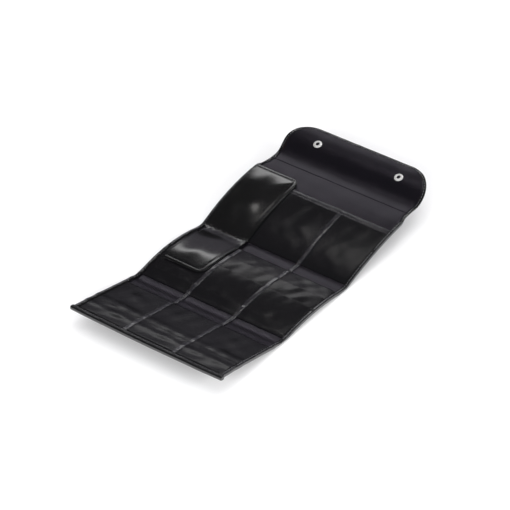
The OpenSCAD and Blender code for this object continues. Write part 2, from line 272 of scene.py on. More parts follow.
satinLining = satinMaterial("satinLining", (0.004, 0.0036, 0.005), (0.007, 0.0062, 0.009), 0.30, 9000)
# The thread is black; its grey colours are painted highlight, standing in for the light dotted lines seen
# along the bindings.
sewingThread = satinMaterial("sewingThread", (0.12, 0.12, 0.13), (0.32, 0.32, 0.34), 0.35, 16000)

nickelPlate, nodes, links, shader = newMaterial("nickelPlate")
shader.inputs["Metallic"].default_value = 0.55
place3d = nodes.new("ShaderNodeTexCoord")
brush = noiseNode(nickelPlate.node_tree, place3d.outputs["Object"], {"Scale": 900.0, "Detail": 4.0})
ramp = nodes.new("ShaderNodeMapRange")
ramp.inputs["To Min"].default_value = 0.16
ramp.inputs["To Max"].default_value = 0.34
links.new(brush.outputs["Fac"], ramp.inputs["Value"])
links.new(ramp.outputs["Result"], shader.inputs["Roughness"])
tarnish = nodes.new("ShaderNodeMix")
tarnish.data_type = "RGBA"
tarnish.inputs[6].default_value = (0.72, 0.71, 0.69, 1)
tarnish.inputs[7].default_value = (0.95, 0.95, 0.95, 1)
links.new(brush.outputs["Fac"], tarnish.inputs["Factor"])
links.new(tarnish.outputs[2], shader.inputs["Base Color"])

paper, nodes, links, shader = newMaterial("paleFloor")
shader.inputs["Base Color"].default_value = (0.9, 0.9, 0.9, 1)
shader.inputs["Roughness"].default_value = 0.9
shader.inputs["Specular IOR Level"].default_value = 0.1
print("materials ready")

# Mesh building


def meshObject(name, verts, quads, mat, uvs=None, flatFaces=None):
    # Mesh from arrays: verts (n,3), quads (f,4); faces are turned outwards by the sign of the volume.
    a, b, c, d = (verts[quads[:, k]] for k in range(4))
    volume = (np.einsum("ij,ij->i", a, np.cross(b, c)) + np.einsum("ij,ij->i", a, np.cross(c, d))).sum()
    if volume < 0:
        quads = quads[:, ::-1]
        uvs = None if uvs is None else uvs[:, ::-1]
    mesh = bpy.data.meshes.new(name)
    mesh.vertices.add(len(verts))
    mesh.vertices.foreach_set("co", verts.astype(np.float32).ravel())
    mesh.loops.add(quads.size)
    mesh.loops.foreach_set("vertex_index", quads.astype(np.int32).ravel())
    mesh.polygons.add(len(quads))
    mesh.polygons.foreach_set("loop_start", np.arange(0, quads.size, 4, dtype=np.int32))
    smooth = np.ones(len(quads), dtype=bool)
    if flatFaces is not None:
        smooth[flatFaces] = False
    mesh.polygons.foreach_set("use_smooth", smooth)
    if uvs is not None:
        layer = mesh.uv_layers.new(name="surface")
        layer.data.foreach_set("uv", uvs.astype(np.float32).ravel())
    mesh.update(calc_edges=True)
    mesh.validate()
    mesh.materials.append(mat)
    obj = bpy.data.objects.new(name, mesh)
    bpy.context.scene.collection.objects.link(obj)
    return obj


def loft(name, rings, mat, ringOfRings=False):
    # Closed tube: rings (n,m,3) are n closed loops of m points. Its ends are closed by bridging each
    # loop onto itself, or it is joined into a torus when ringOfRings is set.
    n, m = rings.shape[:2]
    rows = n if ringOfRings else n - 1
    i, j = np.meshgrid(np.arange(rows), np.arange(m), indexing="ij")
    i2, j2 = (i + 1) % n, (j + 1) % m
    quads = np.stack([i * m + j, i * m + j2, i2 * m + j2, i2 * m + j], -1).reshape(-1, 4)
    stepI = np.linalg.norm(np.roll(rings, -1, 0) - rings, axis=2).mean(1)
    stepJ = np.linalg.norm(np.roll(rings, -1, 1) - rings, axis=2).mean(0)
    alongI = np.concatenate([[0], np.cumsum(stepI)])
    alongJ = np.concatenate([[0], np.cumsum(stepJ)])
    uvs = np.stack([
        np.stack([alongJ[j], alongI[i]], -1), np.stack([alongJ[j + 1], alongI[i]], -1),
        np.stack([alongJ[j + 1], alongI[i + 1]], -1), np.stack([alongJ[j], alongI[i + 1]], -1)],
        2).reshape(-1, 4, 2)
    flat = None
    if not ringOfRings:
        k = np.arange(m // 2 - 1)
        first = np.stack([k, m - 1 - k, m - 2 - k, k + 1], -1)
        last = np.stack([k, k + 1, m - 2 - k, m - 1 - k], -1) + (n - 1) * m
        caps = np.concatenate([first, last])
        capUv = np.tile(np.array([[0, 0], [0.001, 0], [0.001, 0.001], [0, 0.001]]), (len(caps), 1, 1))
        flat = np.arange(len(quads), len(quads) + len(caps))
        quads = np.concatenate([quads, caps])
        uvs = np.concatenate([uvs, capUv])
    return meshObject(name, rings.reshape(-1, 3), quads, mat, uvs, flat)


def ripple(x, u, size, seed):
    # Soft irregular waves, about -1 to 1: nine sine waves of seeded direction, length and phase.
    draw = np.random.default_rng(seed)
    total = 0
    for k in range(9):
        turn = draw.uniform(0, math.tau)
        wave = math.tau / (size * draw.uniform(0.6, 1.8))
        total = total + np.sin(wave * (x * math.cos(turn) + u * math.sin(turn)) + draw.uniform(0, math.tau))
    return total / 4.0


def smoothStep(t):
    t = np.clip(t, 0, 1)
    return t * t * (3 - 2 * t)


def hump(u, centre, half):
    # 1 at the centre, falling smoothly to 0 at half either side.
    return smoothStep(1 - np.abs(u - centre) / half)


# The line that every sheet follows


def nodePoints(nodeName):
    # The points of a CAD piece, (n,3).
    mesh = frame["nodes"][nodeName].data
    co = np.empty(len(mesh.vertices) * 3)
    mesh.vertices.foreach_get("co", co)
    return co.reshape(-1, 3)


def shellLine(nodeName, backwards=False):
    # Outer line of a panel's shell in the plane x = constant: the two points of its starting end give the
    # panel's direction, and the lower point of each pair along it gives its bow.
    co = nodePoints(nodeName)
    side = co[co[:, 0] < co[:, 0].min() + 1e-5][:, 1:]
    order = np.argsort(side[:, 0])
    ends = side[order[-1]], side[order[0]]
    start = ends[0] if backwards else ends[1]
    near = side[np.linalg.norm(side - start, axis=1) < 0.0012]
    low, high = near[np.argmin(near[:, 1])], near[np.argmax(near[:, 1])]
    up = (high - low) / np.linalg.norm(high - low)
    along = (-1 if backwards else 1) * np.array([up[1], -up[0]])
    s, h = (side - low) @ along, (side - low) @ up
    keys = np.round(s, 4)
    stations = np.unique(keys)
    lowest = np.array([h[keys == k].min() for k in stations])
    return {"start": low, "along": along, "up": up, "s": stations, "h": lowest, "length": stations.max()}


panelLines = {
    "front": shellLine("front_shell", True), "middle": shellLine("middle_shell"),
    "back": shellLine("back_shell"), "spine": shellLine("spine_shell"), "flap": shellLine("flap_shell")}
# The flap's side is straight only up to its corner, so its bow is a parabola through its shell's underside
flapLine = panelLines["flap"]
flapCo = nodePoints("flap_shell")[:, 1:] - flapLine["start"]
flapS, flapH = flapCo @ flapLine["along"], flapCo @ flapLine["up"]
under = flapH < np.polyval(np.polyfit(flapS, flapH, 2), flapS)
bowFit = np.polyfit(flapS[under], flapH[under], 2)
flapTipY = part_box("flap_binding")[1][1]
flapLength = (flapTipY - flapLine["start"][0]) / flapLine["along"][0]
for _ in range(8):                               # the length at which the bowed flap ends at that y
    lift = np.polyval(bowFit, flapLength)
    flapLength += (flapTipY - (flapLine["start"] + flapLength * flapLine["along"] + lift * flapLine["up"])[0])
flapLine["s"] = np.linspace(0, flapLength, 15)
flapLine["h"] = np.polyval(bowFit, flapLine["s"])
flapLine["length"] = flapLength


def linePoints(p):
    return p["start"] + p["s"][:, None] * p["along"] + p["h"][:, None] * p["up"]


# u runs along the whole sheet from the front edge (0) to the flap's tip
frontLen = panelLines["front"]["length"]
runStart = {"front": frontLen}
chainU = [frontLen - panelLines["front"]["s"][::-1]]
chainP = [linePoints(panelLines["front"])[::-1]]
u = frontLen
lastPoint = chainP[0][-1]
for panelName in ("middle", "back", "spine", "flap"):
    p = panelLines[panelName]
    pts = linePoints(p)
    u += np.linalg.norm(pts[0] - lastPoint)
    runStart[panelName] = u
    chainU.append(u + p["s"])
    chainP.append(pts)
    u += p["length"]
    lastPoint = pts[-1]
chainU, chainP = np.concatenate(chainU), np.concatenate(chainP)
totalRun = chainU[-1]
lineU = np.arange(0, totalRun + 1e-9, 0.5 * mm)
rawLine = np.stack([np.interp(lineU, chainU, chainP[:, k]) for k in range(2)], 1)
bendLook = {"fold": 2.4 * mm, "spine": 6.5 * mm}   # radii over which the folds are rounded
foldReach = 40                                   # half the width of the bell, in samples of the line


def softened(line, radius):
    # The line averaged over a bell curve as wide as the radius.
    bell = np.exp(-0.5 * (np.arange(-foldReach, foldReach + 1) * 0.5 * mm / radius) ** 2)
    bell /= bell.sum()
    longer = np.concatenate([2 * line[0] - line[foldReach:0:-1], line,
                             2 * line[-1] - line[-2:-foldReach - 2:-1]])
    return np.stack([np.convolve(longer[:, k], bell, "valid") for k in range(2)], 1)


# The spine's two folds are rounder than the others: the share is 1 on the spine and falls to 0 beyond it
spineMid = (runStart["spine"] + runStart["flap"]) / 2
spineShare = smoothStep((34 * mm - np.abs(lineU - spineMid)) / (14 * mm))[:, None]
linePos = ((1 - spineShare) * softened(rawLine, bendLook["fold"])
           + spineShare * softened(rawLine, bendLook["spine"]))
lineDir = np.gradient(linePos, axis=0)
lineDir /= np.linalg.norm(lineDir, axis=1)[:, None]


twistLook = {"left": 1.0 * mm, "right": -1.2 * mm, "frontLeft": -0.4 * mm, "frontSag": -1.3 * mm,
             "flapSway": -4.0 * mm}


def twistAt(u, x):
    # The panels are bowed a little more on the left than on the right: a half sine over each panel. The
    # front edge hangs lower halfway across: a parabola across times a smooth rise towards the edge.
    side = np.clip(x / (95 * mm), -1, 1)
    amount = np.where(side < 0, -side * twistLook["left"], side * twistLook["right"])
    lift = 0
    for panel in ("middle", "back"):
        lift = lift + np.sin(math.pi * np.clip((u - runStart[panel]) / panelLines[panel]["length"], 0, 1))
    front = np.clip(1 - u / runStart["front"], 0, 1)
    sag = twistLook["frontSag"] * (1 - side * side) * smoothStep(front)
    dip = twistLook["frontLeft"] * np.clip(-side, 0, 1) * np.sin(math.pi * front)
    return amount * lift + sag + dip


def swayAt(u):
    # The flap lies a little askew: its tip stands to the left, and the shift fades to nothing at its fold.
    return twistLook["flapSway"] * smoothStep((u - runStart["flap"]) / (totalRun - runStart["flap"]))


def place(u, x, h):
    # Point of the wallet: u along the sheet, x across, h above the sheet's outside, square to it.
    u, x, h = np.broadcast_arrays(np.asarray(u, float), np.asarray(x, float), np.asarray(h, float))
    inside = np.clip(u, 0, lineU[-1])
    y, z, dy, dz = (np.interp(inside, lineU, column) for column in (*linePos.T, *lineDir.T))
    h = h + twistAt(inside, x)
    over = u - inside
    return np.stack([x + swayAt(inside), y + over * dy - h * dz, z + over * dz + h * dy], -1)


jointAt = {j["name"]: j["pos_m"] for j in frame["joints"]}
folds = {fold: np.interp(jointAt[fold + "_fold"][1], linePos[:, 0], lineU)
         for fold in ("front", "back", "spine", "flap")}
# Where one blended piece hands over to the next: halfway along a panel
breaks = {panel: runStart[panel] + panelLines[panel]["length"] / 2 for panel in ("middle", "back", "spine")}
# stretch: first and last u, its two bodies, the fold between them, and half the width of that fold
stretches = {
    "A": (0.0, breaks["middle"], "front_panel", "middle_panel", "front", 5 * mm),
    "B": (breaks["middle"], breaks["back"], "middle_panel", "back_panel", "back", 5 * mm),
    "C": (breaks["back"], breaks["spine"], "back_panel", "spine", "spine", 3 * mm),
    "D": (breaks["spine"], totalRun, "spine", "flap", "flap", 3 * mm)}


def bendAcross(obj, bodyA, bodyB, fold, half):
    # Bakes a piece's placement into its mesh; the points half either side of the fold are found but not used,
    # and the piece is not bound to its two bodies.
    a, b = place(folds[fold] - half, 0, 0), place(folds[fold] + half, 0, 0)
    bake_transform(obj)


def bendAt(obj, stretch):
    bendAcross(obj, *stretches[stretch][2:])


halfWidth = -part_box("middle_binding_left")[0][0]
innerHalf = -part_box("middle_shell")[0][0]
bindingWidth = halfWidth - innerHalf
print("line ready: run", round(totalRun / mm, 1), "mm")

# Pocket fronts: where each starts and ends, and how high it stands
layers = {"lining": 1.8 * mm, "base": 2.2 * mm, "sheet": 0.6 * mm, "mouth": 3.8 * mm}


def runOf(nodeName):
    # First and last u of a CAD sheet, from the y of its box.
    low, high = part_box(nodeName)
    return tuple(float(np.interp(v, linePos[:, 0], lineU)) for v in (low[1], high[1]))


pocketRuns = {name: runOf(name) for name in (
    "front_slot_2", "front_slot_1", "slot_1", "slot_2", "slot_3", "slot_4", "long_pocket")}


def slotRise(t):
    # Height of a pocket front at a share t of the way from its seam to its mouth.
    foot = layers["base"] + layers["sheet"]
    return foot + t * (layers["mouth"] - foot)


def pocketTop(u):
    # Height of the uppermost pocket front at u, before any puff: each rises evenly from seam to mouth.
    top = np.full_like(u, layers["base"])
    for u0, u1 in pocketRuns.values():
        t = (u - u0) / (u1 - u0)
        top = np.where((t >= 0) & (t <= 1), np.maximum(top, slotRise(t)), top)
    return top


tapeLow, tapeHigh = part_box("middle_tape_right")
tapeX, tapeHalf = (tapeLow[0] + tapeHigh[0]) / 2, (tapeHigh[0] - tapeLow[0]) / 2
leafLeft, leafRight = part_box("leaf_edging")[0][0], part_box("leaf_edging")[1][0]
leafRun = (runOf("leaf_tail_edging")[0], runOf("leaf_edging")[1])

# Outer shell and lining
shellLook = {"rows": 1.5 * mm, "columns": 49, "ripple": 0.10 * mm, "pinch": 0.15, "foldLift": 1.3 * mm,
             "tuck": 0.6 * mm, "tuckDepth": 0.012 * mm, "lining": 0.4 * mm}


def rowsBetween(u0, u1, step):
    # Even rows from u0 to u1, about one step apart.
    return np.linspace(u0, u1, max(3, int(round((u1 - u0) / step)) + 1))


flapOutline = {"corner": 32 * mm, "narrower": 2.5 * mm, "notch": 1.6 * mm}
flapCorner = flapOutline["corner"]


def sideInset(u):
    # The flap is narrower than the panels, and the sheet is drawn in a little further at the spine.
    return (flapOutline["narrower"] * smoothStep((u - folds["spine"] + 6 * mm) / (16 * mm))
            + flapOutline["notch"] * hump(u, (folds["spine"] + folds["flap"]) / 2 + 4 * mm, 24 * mm))


def widthAt(u, inset):
    # Half width at u, inset from the outline: full width, then the flap's rounded corners.
    r = flapCorner - inset
    x = halfWidth - inset - sideInset(u)
    past = np.clip(u - (totalRun - inset - r), 0, r)
    return x - r + np.sqrt(np.maximum(r * r - past * past, 0))


def slab(name, u0, u1, inset, low, high, mat):
    # Layer of the sheet: for each u a closed loop over its top and back under it.
    us = rowsBetween(u0, u1, shellLook["rows"])
    if u1 < totalRun - flapCorner:                # the end tucks into the next stretch
        us = np.append(us, u1 + shellLook["tuck"])
    else:                                         # finer rows round the flap's corners
        turn = np.linspace(0, math.pi / 2, 26)
        us = np.concatenate([us[us < totalRun - flapCorner - mm],
                             totalRun - flapCorner + (flapCorner - inset) * np.sin(turn)])
    t = np.linspace(-1, 1, shellLook["columns"])
    x = widthAt(us, inset)[:, None] * t[None, :]
    uu = np.broadcast_to(us[:, None], x.shape)
    wave = shellLook["ripple"] * ripple(x, uu, 34 * mm, 3)
    sunk = shellLook["tuckDepth"] * (uu > u1)
    top = place(uu, x, high(uu) + wave - sunk)
    bottom = place(uu, x, low(uu) + wave + sunk)
    return loft(name, np.concatenate([top, bottom[:, ::-1]], 1), mat)


def foldLift(u):
    # The outer side is drawn in at the front fold, which lies inside the spine when the wallet is shut.
    return shellLook["foldLift"] * hump(u, folds["front"], 16 * mm)


def pinchAt(u):
    # Folds are sewn flatter: 1 away from a fold, less on it.
    nearFold = hump(u, folds["front"], 7 * mm) + hump(u, folds["back"], 7 * mm)
    return 1 - shellLook["pinch"] * np.clip(nearFold, 0, 1)


replacedBy = {
    "A": ("front_shell", "front_core", "front_fold_strip"),
    "B": ("middle_shell", "middle_core", "back_fold_strip"),
    "C": ("back_shell", "back_core", "spine_fold_strip"),
    "D": ("spine_shell", "flap_shell", "flap_core", "flap_fold_strip")}
liningOf = {"A": ("front_lining",), "B": ("middle_lining",), "C": ("back_lining",),
            "D": ("spine_lining", "flap_lining")}
for key in stretches:
    u0, u1 = stretches[key][:2]
    inset = bindingWidth * 0.6
    end = u1 - (inset if key == "D" else 0)
    shell = slab("outerShell" + key, u0, end, inset,
                 lambda u: 0.05 * mm + foldLift(u),
                 lambda u: (layers["lining"] - 0.02 * mm) * pinchAt(u), outerVinyl)
    bendAt(shell, key)
    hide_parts(*replacedBy[key])
    lining = slab("lining" + key, u0, end, inset,
                  lambda u: layers["lining"] * pinchAt(u),
                  lambda u: layers["lining"] * pinchAt(u) + shellLook["lining"], satinLining)
    bendAt(lining, key)
    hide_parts(*liningOf[key])
print("shell and lining done")

# Pocket fronts
pocketLook = {"puff": 0.9 * mm, "sag": 1.1 * mm, "roll": 0.55 * mm, "ripple": 0.22 * mm, "columns": 121}
columnEdges = (-innerHalf, -tapeX, tapeX, innerHalf)
longEdges = (-innerHalf, leafRight, tapeX, innerHalf)


def pillow(x, edges):
    # 0 on every edge line, 1 halfway between two of them: a flattened sine arch.
    total = np.zeros_like(x)
    for a, b in zip(edges[:-1], edges[1:]):
        t = np.clip((x - a) / (b - a), 0, 1)
        total = np.maximum(total, np.sqrt(np.sin(math.pi * t).clip(0, 1)))
    return total


def underLeaf(x, u):
    # 1 where the leaf covers the sheet, so that pocket fronts stay flat under it.
    across = smoothStep((leafRight + 3 * mm - x) / (4 * mm))
    entering, leaving = u - leafRun[0] + 4 * mm, leafRun[1] + 4 * mm - u
    return across * (smoothStep(entering / (5 * mm)) * smoothStep(leaving / (5 * mm)))


def pocketFront(name, u0, u1, edges, seed, puff):
    # Sheet sewn at its sides, foot and dividers. Its section runs up the front, round the rolled mouth and
    # back down behind; the front stands out between the dividers, most at the mouth.
    xs = np.linspace(-innerHalf, innerHalf, pocketLook["columns"])
    up = np.linspace(0, 1, 34) ** 0.8
    nose = np.linspace(math.pi / 2, -math.pi / 2, 9)[1:-1]
    x = xs[:, None]
    arch = pillow(x, edges)
    sag = pocketLook["sag"] * arch
    mouthU = u1 - sag * (1 - 0.8 * underLeaf(x, u1))
    t = up[None, :]
    uFront = u0 + t * (mouthU - u0)
    free = 1 - underLeaf(x, uFront)
    bulge = arch * free * puff * (0.25 + 0.75 * t ** 2) * smoothStep(t * 9)
    waves = pocketLook["ripple"] * ripple(x, uFront, 22 * mm, seed) * arch ** 2 * free * smoothStep(t * 6)
    hFront = slotRise(t) + bulge + waves
    thick = layers["sheet"] + (2 * pocketLook["roll"] - layers["sheet"]) * smoothStep((t - 0.93) / 0.05)
    hBack = hFront - thick
    front = place(uFront, x, hFront)
    back = place(uFront, x, hBack)
    r = pocketLook["roll"]
    hNose = (hFront[:, -1:] - r) + r * np.sin(nose)[None, :]
    uNose = mouthU + 0.9 * r * np.cos(nose)[None, :]
    noseP = place(uNose, x, hNose)
    rings = np.concatenate([front, noseP, back[:, ::-1]], 1)
    if rings.shape[1] % 2:                        # its ends close over an even number of points
        rings = np.delete(rings, 1, axis=1)
    return loft(name, rings, pocketVinyl)


longPuff = pocketLook["puff"] * 0.75              # the long pocket is sewn flatter
for seed, (nodeName, (u0, u1)) in enumerate(pocketRuns.items(), 20):
    isLong = nodeName == "long_pocket"
    body = "front_panel" if nodeName.startswith("front") else "back_panel" if isLong else "middle_panel"
    pocket = pocketFront(nodeName + "_front", u0, u1, longEdges if isLong else columnEdges, seed,
                         longPuff if isLong else pocketLook["puff"])
    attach(pocket, body)
    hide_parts(nodeName)
print("pocket fronts done")

# Divider tapes
tapeLook = {"thick": 0.8 * mm, "pucker": 0.35 * mm, "pitch": 4.4 * mm, "rows": 0.6 * mm}


def roundedStrip(halfW, thick, count=22, flatness=0.42):
    # Flat strip with rounded edges: a squared-off ellipse, (across, above) pairs round the loop.
    a = np.linspace(0, math.tau, count, endpoint=False) + math.pi / count
    c, s = np.cos(a), np.sin(a)
    return (halfW * np.sign(c) * np.abs(c) ** flatness,
            thick / 2 + thick / 2 * np.sign(s) * np.abs(s) ** 0.8)


def tapeHeight(u):
    # The tape lies on the pocket fronts, and its corners over their mouths are softened.
    fine = np.arange(u[0] - 4 * mm, u[-1] + 4 * mm, 0.2 * mm)
    top = pocketTop(fine)
    soft = np.exp(-0.5 * (np.arange(-12, 13) * 0.2 / 0.9) ** 2)
    soft /= soft.sum()
    smoothTop = np.convolve(np.pad(top, 12, mode="edge"), soft, "valid")
    return np.interp(u, fine, smoothTop)


def foldPucker(u, reach):
    total = 0
    for fold in folds.values():
        total = total + hump(u, fold, reach)
    return np.clip(total, 0, 1)


def dividerTape(name, x0, u0, u1, seed):
    us = rowsBetween(u0, u1, tapeLook["rows"])
    cx, ch = roundedStrip(tapeHalf, tapeLook["thick"])
    near = 0.25 + 0.75 * foldPucker(us, 30 * mm)
    phase = math.tau * us / tapeLook["pitch"] + 2.5 * ripple(0 * us, us, 16 * mm, seed)
    pucker = tapeLook["pucker"] * near * np.sin(phase)
    sway = 0.35 * mm * ripple(0 * us, us, 30 * mm, seed + 1)
    narrow = 1 - 0.10 * near * (0.5 + 0.5 * np.cos(math.tau * us / tapeLook["pitch"]))
    tilt = 0.10 * near * ripple(0 * us, us, 5 * mm, seed + 2)
    x = x0 + sway[:, None] + cx[None, :] * narrow[:, None]
    h = tapeHeight(us)[:, None] + ch[None, :] + np.abs(pucker)[:, None] + (cx[None, :] * tilt[:, None])
    return loft(name, place(us[:, None], x, h), tapeVinyl)


tapeEnd = {"left": runOf("middle_tape_left")[1], "right": runOf("back_tape")[1]}
for side, sign in (("left", -1), ("right", 1)):
    tapeA = dividerTape("dividerTapeA_" + side, sign * tapeX, 1 * mm, breaks["middle"], 31 + sign)
    bendAt(tapeA, "A")
    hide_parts("front_tape_" + side)
    tapeB = dividerTape("dividerTapeB_" + side, sign * tapeX, breaks["middle"], tapeEnd[side], 31 + sign)
    if side == "right":
        bendAt(tapeB, "B")
        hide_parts("middle_tape_right", "back_tape")
    else:
        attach(tapeB, "middle_panel")
        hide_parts("middle_tape_left")
print("divider tapes done")

# Side bindings
bindingLook = {"high": 4.6 * mm, "thin": 2.4 * mm, "groove": 0.35 * mm, "stitch": 3.4 * mm,
               "pucker": 0.16 * mm, "foldPucker": 0.45 * mm, "foldPitch": 3.1 * mm, "rows": 0.55 * mm,
               "foldReach": 9 * mm, "foldThin": 0.18}


def bindingSection(halfW, count=30):
    # Folded strip: a squared-off ellipse of height 1 with a sewn groove along its top. Returns across,
    # above, and how much each point belongs to the groove.
    a = np.linspace(0, math.tau, count, endpoint=False) + math.pi / count
    c, s = np.cos(a), np.sin(a)
    across = halfW * np.sign(c) * np.abs(c) ** 0.62
    above = 0.5 + 0.5 * np.sign(s) * np.abs(s) ** 0.62
    groove = np.exp(-((across - 0.15 * halfW) / (0.24 * halfW)) ** 2) * (s > 0)
    return across, above, groove


def thinnedBy(u):
    # Share of its height that a binding keeps where it crosses a fold.
    return 1 - bindingLook["foldThin"] * foldPucker(u, bindingLook["foldReach"])


def sewnBinding(name, path, inward, high, seed):
    # Binding along a path: path (n,2) is x and u, inward (n,2) the direction to the sheet's middle.
    halfW = bindingWidth / 2
    run = np.concatenate([[0], np.cumsum(np.linalg.norm(np.diff(path, axis=0), axis=1))])
    across, above, groove = bindingSection(halfW)
    near = foldPucker(path[:, 1], bindingLook["foldReach"])
    stitchWave = 0.5 + 0.5 * np.cos(math.tau * run / bindingLook["stitch"])
    phase = math.tau * run / bindingLook["foldPitch"] + 2 * ripple(run, 0 * run, 9 * mm, seed)
    crinkle = bindingLook["foldPucker"] * near * np.sin(phase)
    lumps = 0.12 * mm * ripple(run, 0 * run, 11 * mm, seed + 5)
    depth = groove[None, :] * (bindingLook["groove"] + bindingLook["pucker"] * 2 * stitchWave[:, None])
    base = foldLift(path[:, 1])[:, None]
    h = base + above[None, :] * ((high * thinnedBy(path[:, 1]))[:, None] - base)
    topness = np.clip(above, 0, 1)[None, :]
    h = h - depth + topness * (crinkle + lumps)[:, None]
    outer = (np.abs(across) > 0.7 * halfW)[None, :]
    d = (across[None, :] * (1 - 0.06 * stitchWave[:, None] * (0.3 + groove[None, :]))
         + 0.5 * crinkle[:, None] * outer)
    x = path[:, 0, None] + d * inward[:, 0, None]
    uu = path[:, 1, None] + d * inward[:, 1, None]
    return loft(name, place(uu, x, np.maximum(h, 0.0)), edgeVinyl)


def sideHigh(u):
    # Binding height: full on the panels, lower on the spine and the flap.
    k = smoothStep((u - (folds["spine"] - 4 * mm)) / (6 * mm))
    return bindingLook["high"] * (1 - k) + bindingLook["thin"] * k


sideNodes = {"A": "front_binding_", "B": "middle_binding_", "C": "back_binding_"}
bindingX = halfWidth - bindingWidth / 2
for side, sign in (("left", -1), ("right", 1)):
    for key in "ABC":
        u0, u1 = stretches[key][:2]
        us = rowsBetween(u0 - (1.5 * mm if key == "A" else 0), u1, bindingLook["rows"])
        path = np.stack([sign * (bindingX - sideInset(us)), us], 1)
        inward = np.tile([-sign, 0.0], (len(us), 1))
        binding = sewnBinding("sideBinding" + key + "_" + side, path, inward, sideHigh(us), 50 + sign)
        bendAt(binding, key)
        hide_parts(sideNodes[key] + side)

# Rim round the flap: up one side from the middle of the spine, round the corners and back down
rimR = flapCorner - bindingWidth / 2
rimX = bindingX
flapX = rimX - flapOutline["narrower"]
cornerU = totalRun - flapCorner
straight = rowsBetween(breaks["spine"], cornerU, bindingLook["rows"])
arc = np.linspace(0, math.pi / 2, 70)[1:]
leftSide = np.stack([-rimX + sideInset(straight), straight], 1)
leftArc = np.stack([-(flapX - rimR) - rimR * np.cos(arc), cornerU + rimR * np.sin(arc)], 1)
tipX = np.linspace(-(flapX - rimR), flapX - rimR, 230)[1:-1]
tip = np.stack([tipX, np.full_like(tipX, cornerU + rimR)], 1)
mirror = np.array([-1, 1])
rimPath = np.concatenate([leftSide, leftArc, tip, (leftArc * mirror)[::-1], (leftSide * mirror)[::-1]])
tangent = np.gradient(rimPath, axis=0)
tangent /= np.linalg.norm(tangent, axis=1)[:, None]
rimInward = np.stack([tangent[:, 1], -tangent[:, 0]], 1)
rim = sewnBinding("flapRim", rimPath, rimInward, np.full(len(rimPath), bindingLook["thin"]), 77)
bendAt(rim, "D")
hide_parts("flap_binding", "spine_binding_left", "spine_binding_right")
print("bindings done")

# Stitches: short threads laid end to end in a groove
stitchLook = {"long": 2.3 * mm, "thick": 0.26 * mm, "sides": 6, "rings": 7, "proud": 0.02 * mm,
              "across": 0.3 * mm}


def stitchRow(name, path, height, across, stretch):
    # One capsule per pitch along a path (n,2) of x and u, moved sideways by across; height is h of the path.
    # Each capsule is a row of rings whose radius follows a flattened half circle.
    tangent = np.gradient(path, axis=0)
    tangent /= np.linalg.norm(tangent, axis=1)[:, None]
    line = path + across * np.stack([tangent[:, 1], -tangent[:, 0]], 1)
    run = np.concatenate([[0], np.cumsum(np.linalg.norm(np.diff(line, axis=0), axis=1))])
    starts = np.arange(1 * mm, run[-1] - bindingLook["stitch"], bindingLook["stitch"])
    k = np.linspace(-1, 1, stitchLook["rings"])
    s = starts[:, None] + stitchLook["long"] * (0.5 + 0.5 * k[None, :])
    radius = stitchLook["thick"] * np.sqrt(1.04 - np.abs(k) ** 4)
    turn = np.linspace(0, math.tau, stitchLook["sides"], endpoint=False)
    x, u, h = (np.interp(s, run, c)[:, :, None] for c in (line[:, 0], line[:, 1], height))
    tx, tu = (np.interp(s, run, c)[:, :, None] for c in (tangent[:, 0], tangent[:, 1]))
    side = radius[None, :, None] * np.cos(turn)[None, None, :]
    rise = radius[None, :, None] * np.sin(turn)[None, None, :] - 0.10 * mm * (k * k)[None, :, None]
    verts = place(u - side * tx, x + side * tu, h + rise)
    count, rings, sides = verts.shape[:3]
    n, i, j = np.meshgrid(np.arange(count), np.arange(rings - 1), np.arange(sides), indexing="ij")
    base = n * rings * sides
    j2 = (j + 1) % sides
    quads = np.stack([base + i * sides + j, base + i * sides + j2, base + (i + 1) * sides + j2,
                      base + (i + 1) * sides + j], -1).reshape(-1, 4)
    caps = []
    for ring, order in ((0, (0, 1, 2, 3)), (0, (0, 3, 4, 5)),
                        (rings - 1, (3, 2, 1, 0)), (rings - 1, (5, 4, 3, 0))):
        caps.append(np.arange(count)[:, None] * rings * sides + ring * sides + np.array(order)[None, :])
    quads = np.concatenate([quads] + caps)
    uv = np.tile(np.array([[0, 0], [mm, 0], [mm, mm], [0, mm]]), (len(quads), 1, 1))
    obj = meshObject(name, verts.reshape(-1, 3), quads, sewingThread, uv)
    bendAt(obj, stretch)


for side, sign in (("left", -1), ("right", 1)):
    for key in "ABC":
        u0, u1 = stretches[key][:2]
        us = rowsBetween(u0 + 1 * mm, u1, mm)
        path = np.stack([sign * (bindingX - sideInset(us)), us], 1)
        top = sideHigh(us) * thinnedBy(us) - bindingLook["groove"] + stitchLook["proud"]
        stitchRow("stitches" + key + "_" + side, path, top, -sign * stitchLook["across"], key)
top = bindingLook["thin"] * thinnedBy(rimPath[:, 1]) - bindingLook["groove"] + stitchLook["proud"]
stitchRow("flapStitches", rimPath, top, stitchLook["across"], "D")
print("stitches done")

# Rolled front edge
rollLook = {"radius": 2.6 * mm, "standOut": 1.5 * mm, "centreH": 2.3 * mm}
xs = np.linspace(-halfWidth - rollLook["standOut"], halfWidth + rollLook["standOut"], 420)
a = np.linspace(0, math.tau, 32, endpoint=False) + math.pi / 32
c, s = np.cos(a), np.sin(a)
du = 1.12 * rollLook["radius"] * np.sign(c) * np.abs(c) ** 0.72
dh = 0.98 * rollLook["radius"] * np.sign(s) * np.abs(s) ** 0.72
groove = np.exp(-((du - 0.7 * mm) / (0.5 * mm)) ** 2) * (s > 0)
stitchWave = 0.5 + 0.5 * np.cos(math.tau * xs / bindingLook["stitch"])
ends = 1 - 0.25 * smoothStep((np.abs(xs) - halfWidth - 0.2 * mm) / (1.3 * mm)) ** 2
lump = 0.10 * mm * ripple(xs, 0 * xs, 14 * mm, 5)
hh = (rollLook["centreH"] + dh[None, :] * ends[:, None]
      + np.clip(dh, 0, 1)[None, :] / rollLook["radius"] * lump[:, None]
      - groove[None, :] * (0.3 + 0.3 * stitchWave[:, None]) * mm)
